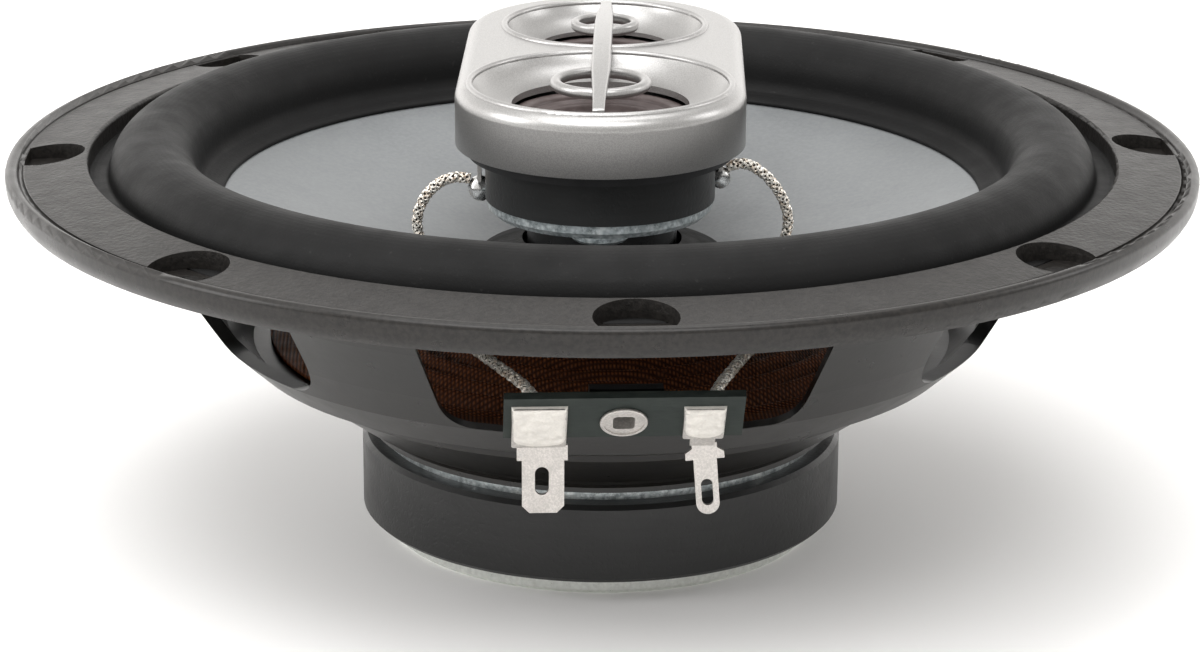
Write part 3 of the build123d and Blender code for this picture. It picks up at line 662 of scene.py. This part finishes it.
make_diaphragm("midrange_film", "midrange_diaphragm", "midrange_cone", -DRIVER_OFFSET, 6.44, 12.3)
make_diaphragm("tweeter_film", "tweeter_diaphragm", "tweeter_dome", DRIVER_OFFSET, 4.44, 9.7)


# ================================================================ phase bridge
BLADE_NEAR, BLADE_FAR = -33.9, 30.9
BLADE_FOOT, BLADE_RISE = 18.1, 2.75     # its top at the feet, and how far that rises to the middle
BLADE_LOW, LOW_RISE = 17.75, 0.55
BLADE_WIDTH, BLADE_SWELL = 1.6, 0.95
BLADE_STATIONS = 90
RING_Z, RING_HEIGHT = 17.65, 1.5


def rounded_section(width, height, corner, count=5):
    """A rounded rectangle about (0, 0), as a list of points."""
    points = []
    for cx, cy, start in ((1, 1, 0), (-1, 1, 90), (-1, -1, 180), (1, -1, 270)):
        middle = (cx * (width / 2 - corner), cy * (height / 2 - corner))
        points += arc(middle, corner, start, start + 90, count)
    return points


def make_blade():
    """The arched blade, widest over the near driver, with rounded edges and square feet."""
    bm = bmesh.new()
    rings = []
    for i in range(BLADE_STATIONS + 1):
        t = i / BLADE_STATIONS
        y = BLADE_NEAR + (BLADE_FAR - BLADE_NEAR) * t
        arch = 1 - ((t - 0.5) / 0.5) ** 2
        width = BLADE_WIDTH + BLADE_SWELL * smooth_step(min(t / 0.30, (1 - t) / 0.38))
        top = BLADE_FOOT + BLADE_RISE * arch
        low = BLADE_LOW + LOW_RISE * arch
        ring = []
        for x, z in rounded_section(width, top - low, min(0.42, (top - low) * 0.35)):
            ring.append(bm.verts.new(pod_point(x, y, (top + low) / 2 + z) * MM))
        rings.append(ring)
    close_rings(bm, rings)
    return finish_mesh(bm, "phase_blade")


def make_bridge():
    """The blade and the two phase rings that it holds."""
    add_piece("phase_blade", make_blade(), "frame", "pod_silver", ["phase_bridge"])
    for name, y, outer, inner in (("midrange_ring", -DRIVER_OFFSET, 6.85, 5.25),
                                  ("tweeter_ring", DRIVER_OFFSET, 4.85, 3.6)):
        centre = pod_point(0, y)
        middle, width = (outer + inner) / 2, outer - inner
        corners = rounded_section(width, RING_HEIGHT, width * 0.45, 6)
        section = [(middle + x, RING_Z + z) for x, z in corners]
        mesh = lathe(name, section, 128, (centre.x, centre.y))
        add_piece(name, mesh, "frame", "pod_silver")


make_bridge()


# ================================================================ braided leads
FRONT_ROUTES = {
    "left": [(-18.0, -11, 2.35), (-19.6, -11, 2.7), (-21.6, -11, 2.2), (-23.6, -10.6, 0.6),
             (-24.9, -10, -1.5), (-25.6, -9.4, -4.1), (-25.4, -8.9, -6.2), (-25.0, -8.6, -8.0)],
    "right": [(17.3, -11, 4.3), (18.8, -10.8, 4.95), (20.7, -10.3, 4.5), (23.0, -9.4, 2.6),
              (25.0, -8.4, -0.3), (26.0, -7.4, -3.3), (26.0, -6.8, -6.0), (25.5, -6.4, -8.0)],
}
REAR_ROUTES = {
    "left": [(-25.3, -7.8, -10.9), (-24.9, -12.5, -12.5), (-23.6, -20.5, -13.7), (-21.4, -29.0, -14.0),
             (-18.2, -37.1, -13.8), (-15.1, -43.1, -14.3), (-11.9, -49.6, -14.7), (-10.6, -57.0, -15.0)],
    "right": [(24.9, -9.1, -10.9), (24.6, -13.5, -12.5), (22.9, -21.5, -13.6), (20.5, -30.2, -13.8),
              (17.2, -39.0, -13.6), (14.6, -44.9, -14.1), (12.2, -50.5, -14.6), (10.6, -57.0, -15.0)],
}
BRAID_R = 0.60          # radius that the strands are wound on
CORE_R = 0.46
STRAND_R = 0.09
CARRIERS = 5            # pairs of strands wound each way
HALF_PAIR = 0.15        # angle from a pair's middle to its strands
OVER_UNDER = 0.12       # how far a pair rises and dips as it crosses the others
WOBBLE = 0.04
BRAID_PITCH = 4.6       # length of one turn
PATH_STEP = 0.14


def spline_points(points):
    """Points along the smooth NURBS line that the route's points control, in millimetres."""
    curve = bpy.data.curves.new("route", "CURVE")
    curve.dimensions = "3D"
    curve.resolution_u = 24
    spline = curve.splines.new("NURBS")
    spline.points.add(len(points) - 1)
    for target, point in zip(spline.points, points):
        target.co = (*point, 1)
    spline.order_u = 3
    spline.use_endpoint_u = True
    holder = bpy.data.objects.new("route", curve)
    scene.collection.objects.link(holder)
    line = bpy.data.meshes.new_from_object(holder)
    found = [v.co.copy() for v in line.vertices]
    bpy.data.objects.remove(holder)
    bpy.data.curves.remove(curve)
    bpy.data.meshes.remove(line)
    return found


def even_points(line, step):
    """The line again, with points spaced evenly."""
    lengths = [0.0]
    for a, b in zip(line, line[1:]):
        lengths.append(lengths[-1] + (b - a).length)
    count = max(8, int(lengths[-1] / step))
    out, i = [], 0
    for k in range(count + 1):
        at = lengths[-1] * k / count
        while i < len(lengths) - 2 and lengths[i + 1] < at:
            i += 1
        share = (at - lengths[i]) / max(lengths[i + 1] - lengths[i], 1e-9)
        out.append(line[i].lerp(line[i + 1], share))
    return out, lengths[-1]


def cross_axes(path):
    """Two directions square to the path at each of its points, which turn as little as they can."""
    pairs = []
    normal = (path[1] - path[0]).orthogonal().normalized()
    for i in range(len(path)):
        along = (path[min(i + 1, len(path) - 1)] - path[max(i - 1, 0)]).normalized()
        normal = (normal - along * normal.dot(along)).normalized()
        pairs.append((normal.copy(), along.cross(normal)))
    return pairs


def tube_along(bm, path, radius, sides):
    """Adds a closed tube along a path of points to the mesh."""
    rings = []
    for point, (normal, other) in zip(path, cross_axes(path)):
        ring = []
        for s in range(sides):
            angle = tau * s / sides
            reach = (normal * cos(angle) + other * sin(angle)) * radius
            ring.append(bm.verts.new((point + reach) * MM))
        rings.append(ring)
    close_rings(bm, rings)


def strand_points(path, length, way, k):
    """The line of one strand, wound one way round the path over and under the other way's."""
    pair, side = divmod(k, 2)
    start = tau * pair / CARRIERS
    strand = []
    for i, (point, (normal, other)) in enumerate(zip(path, cross_axes(path))):
        turn = tau * i * length / (len(path) - 1) / BRAID_PITCH
        angle = way * turn + start + (HALF_PAIR if side else -HALF_PAIR)
        over = OVER_UNDER * way * cos(turn * CARRIERS + way * pi * pair)
        wobble = WOBBLE * noise.noise(point * 1.3 + Vector((k * 7.1, way * 3.3, 0)))
        reach = BRAID_R + over + wobble
        strand.append(point + (normal * cos(angle) + other * sin(angle)) * reach)
    return strand


def braid(name, points):
    """A braid round a dark core, wound along the route, and the path that it follows. The core's dark colour
    is painted shade for the gaps between the strands.
    """
    path, length = even_points(spline_points(points), PATH_STEP)
    bm = bmesh.new()
    for way in (1, -1):
        for k in range(2 * CARRIERS):
            tube_along(bm, strand_points(path, length, way, k), STRAND_R, 5)
    strands = len(bm.faces)
    tube_along(bm, path, CORE_R, 10)
    bm.faces.ensure_lookup_table()
    for face in bm.faces[strands:]:
        face.material_index = 1
    return finish_mesh(bm, name), path


def make_lead(name, points, node, cone_end_first):
    """A braided lead between the frame at one end and the cone at the other."""
    mesh, path = braid(name, points)
    piece = add_piece(name, mesh, None, "lead_braid", [node])
    mesh.materials.append(materials["lead_core"])
    line = np.array([p[:] for p in path])

    def share(p):
        """How far along the lead the nearest point of its path lies, counted from the frame."""
        at = np.argmin(((line - np.array(p[:])) ** 2).sum(1)) / (len(line) - 1)
        return 1 - at if cone_end_first else at

    blend_by(piece, share)


for side, route in FRONT_ROUTES.items():
    make_lead(f"front_braid_{side}", [pod_point(*p) for p in route], f"front_lead_{side}", False)
for side, route in REAR_ROUTES.items():
    make_lead(f"rear_braid_{side}", route, f"rear_lead_{side}", True)


# ================================================================ solder
LUG_Y = -11.0
LUGS = {"left": (-16.7, 0.8, 1.6), "right": (16.4, 2.7, 1.45)}      # x, height and size of the drop
BOARD_BACK = Vector((-0.3, -58.7, -14.7))
BOARD_TILT = radians(38)
BOARD_T, TAB_T = 1.0, 0.5
HEAD_LOW = -6.1         # where the tabs' heads end, along the board
SKIN_CELLS = 56         # each way over a tab's head
SKIN_MARGIN = 0.10      # how far the solder runs past the head's edges
SKIN_CROWN = 0.26       # its thickness over the tab
SKIN_ROUND = 0.75       # width of its rounded edge


def solder_blob(name, place, size, seed, stretch=(1, 1, 1)):
    """A rounded drop of solder, slightly lumpy."""
    bm = bmesh.new()
    bmesh.ops.create_icosphere(bm, subdivisions=4, radius=1)
    for v in bm.verts:
        lump = 1 + 0.10 * noise.noise(v.co * 1.6 + Vector((seed, 0, 0)))
        v.co = (place + Vector([v.co[i] * size * lump * stretch[i] for i in range(3)])) * MM
    add_piece(name, finish_mesh(bm, name), "frame", "solder")


def board_point(x, along, out):
    """A point given across and along the terminal board, and out from its back."""
    return BOARD_BACK + Vector((x, -sin(BOARD_TILT) * along - cos(BOARD_TILT) * out,
                                cos(BOARD_TILT) * along - sin(BOARD_TILT) * out))


def tab_solder(name, middle, width, low, top, seed):
    """A lumpy skin of solder over the head of a terminal tab, thinning out towards its bend."""
    full_width = width + 2 * SKIN_MARGIN
    full_height = top + SKIN_MARGIN - low
    bm = bmesh.new()
    outer, inner = [], []
    for j in range(SKIN_CELLS + 1):
        outer_line, inner_line = [], []
        for i in range(SKIN_CELLS + 1):
            u, v = i / SKIN_CELLS, j / SKIN_CELLS
            x = middle + (u - 0.5) * full_width + 0.22 * (1 - v) * (1 - u)
            along = low + full_height * v
            side = min(u, 1 - u) * full_width
            edge = min(1.0, min(side, (1 - v) * full_height) / SKIN_ROUND)
            rounded = sqrt(max(0.0, 1 - (1 - edge) ** 2))
            foot = smooth_step((along - low - 0.9 * (2 * u - 1) ** 2) / 1.1)
            lump = 0.24 * noise.noise(Vector((x * 0.8 + seed, along * 0.8, 0)))
            pit = 0.05 * noise.noise(Vector((x * 2.6, along * 2.6, seed)))
            face = TAB_T - 0.03 + (SKIN_CROWN + lump + pit) * foot
            outer_line.append(bm.verts.new(board_point(x, along, BOARD_T + 0.02 + face * rounded) * MM))
            inner_line.append(bm.verts.new(board_point(x, along, BOARD_T + 0.01) * MM))
        outer.append(outer_line)
        inner.append(inner_line)
    for grid in (outer, inner):
        for a, b in zip(grid, grid[1:]):
            for i in range(SKIN_CELLS):
                bm.faces.new((a[i], a[i + 1], b[i + 1], b[i]))
    rims = [(outer[0], inner[0]), (outer[-1], inner[-1]),
            ([line[0] for line in outer], [line[0] for line in inner]),
            ([line[-1] for line in outer], [line[-1] for line in inner])]
    for over, under in rims:
        for i in range(len(over) - 1):
            bm.faces.new((over[i], over[i + 1], under[i + 1], under[i]))
    add_piece(name, finish_mesh(bm, name), "frame", "solder_coat")


for side, (x, z, drop_r) in LUGS.items():
    solder_blob(f"lug_solder_{side}", pod_point(x, LUG_Y, z + 0.2), drop_r, x, stretch=(1, 1, 1.12))
tab_solder("tab_solder_positive", middle=-10.7, width=6.9, low=HEAD_LOW + 0.15, top=2.7, seed=2.0)
tab_solder("tab_solder_negative", middle=10.2, width=5.2, low=-4.4, top=2.3, seed=9.0)
for side, x in (("left", -10.3), ("right", 10.9)):
    solder_blob(f"board_solder_{side}", board_point(x, 0.2, -0.75), 1.5, x)
